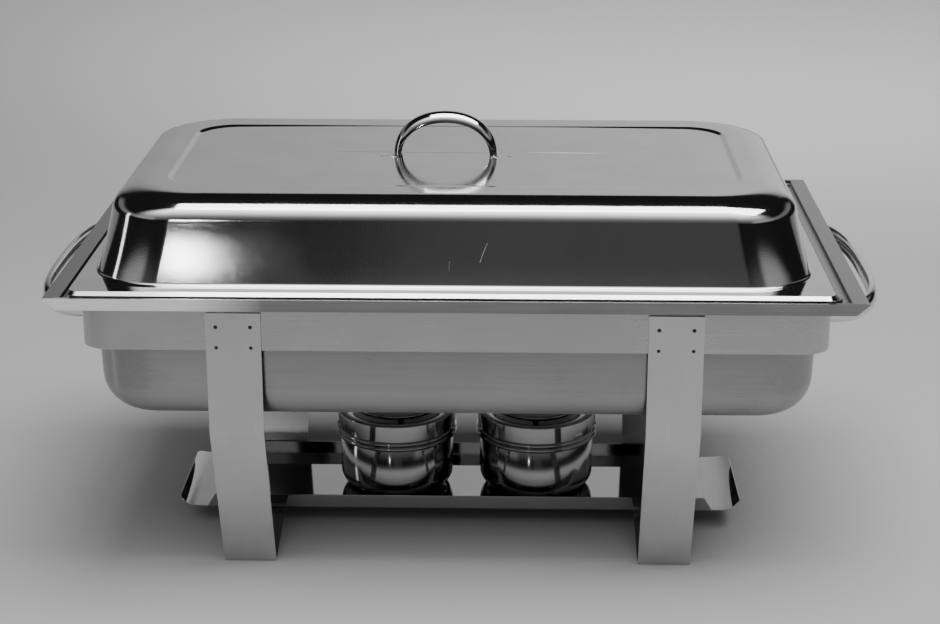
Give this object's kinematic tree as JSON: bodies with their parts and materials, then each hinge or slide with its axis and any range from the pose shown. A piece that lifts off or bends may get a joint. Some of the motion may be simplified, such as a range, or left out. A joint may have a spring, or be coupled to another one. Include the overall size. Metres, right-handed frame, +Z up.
{
  "type": "chafing dish food warmer",
  "caption": "Rectangular full-size chafing dish: lift-off lid, food and water pans, sheet frame with legs, and fuel burners on a shelf.",
  "frame": {"origin": "on the floor under the middle of the frame", "axes": "+X along the long side to the right, +Y to the back, +Z up; the front faces -Y"},
  "size_m": [0.6176, 0.334, 0.3137],
  "materials": {
    "rail_steel": "brushed along its length, satin",
    "skirt_steel": "fine brushed satin",
    "leg_steel": "satin strip with spot-weld marks",
    "shelf_steel": "bright rolled, almost a mirror",
    "handle_steel": "polished",
    "lid_steel": "polished, slightly grained on the walls",
    "water_pan_steel": "satin, brushed along its sides",
    "food_pan_steel": "satin",
    "burner_steel": "polished, lightly spun"
  },
  "bodies": {
    "frame": {"frame_rail_front": "rail_steel", "frame_rail_back": "rail_steel", "frame_rail_left": "rail_steel", "frame_rail_right": "rail_steel", "frame_skirt": "skirt_steel", "leg_left": "leg_steel", "leg_right": "leg_steel", "fuel_shelf": "shelf_steel", "side_handle_left": "handle_steel", "side_handle_right": "handle_steel"},
    "water_pan": {"water_pan": "water_pan_steel"},
    "food_pan": {"food_pan": "food_pan_steel"},
    "lid": {"lid_shell": "lid_steel", "lid_handle": "handle_steel"},
    "burner_cup_left": {"burner_cup_left": "burner_steel"},
    "burner_cover_left": {"burner_cover_left": "burner_steel", "damper_rivet_left": "burner_steel"},
    "burner_damper_left": {"burner_damper_left": "burner_steel"},
    "burner_cup_right": {"burner_cup_right": "burner_steel"},
    "burner_cover_right": {"burner_cover_right": "burner_steel", "damper_rivet_right": "burner_steel"},
    "burner_damper_right": {"burner_damper_right": "burner_steel"}
  },
  "joints": [
    {"name": "water_pan_lift", "type": "slide", "parent": "frame", "child": "water_pan", "axis": [0, 0, 1], "range_m": [0, 0.12]},
    {"name": "food_pan_lift", "type": "slide", "parent": "water_pan", "child": "food_pan", "axis": [0, 0, 1], "range_m": [0, 0.1]},
    {"name": "lid_lift", "type": "slide", "parent": "food_pan", "child": "lid", "axis": [0, 0, 1], "range_m": [0, 0.15]},
    {"name": "burner_left_lift", "type": "slide", "parent": "frame", "child": "burner_cup_left", "axis": [0, 0, 1], "range_m": [0, 0.013]},
    {"name": "cover_left_lift", "type": "slide", "parent": "burner_cup_left", "child": "burner_cover_left", "axis": [0, 0, 1], "range_m": [0, 0.022]},
    {"name": "damper_left_swivel", "type": "hinge", "parent": "burner_cover_left", "child": "burner_damper_left", "pos_m": [-0.05, 0.0395, 0.08], "axis": [0, 0, -1], "range_deg": [0, 100]},
    {"name": "burner_right_lift", "type": "slide", "parent": "frame", "child": "burner_cup_right", "axis": [0, 0, 1], "range_m": [0, 0.013]},
    {"name": "cover_right_lift", "type": "slide", "parent": "burner_cup_right", "child": "burner_cover_right", "axis": [0, 0, 1], "range_m": [0, 0.022]},
    {"name": "damper_right_swivel", "type": "hinge", "parent": "burner_cover_right", "child": "burner_damper_right", "pos_m": [0.059, 0.0395, 0.08], "axis": [0, 0, 1], "range_deg": [0, 100]}
  ]
}
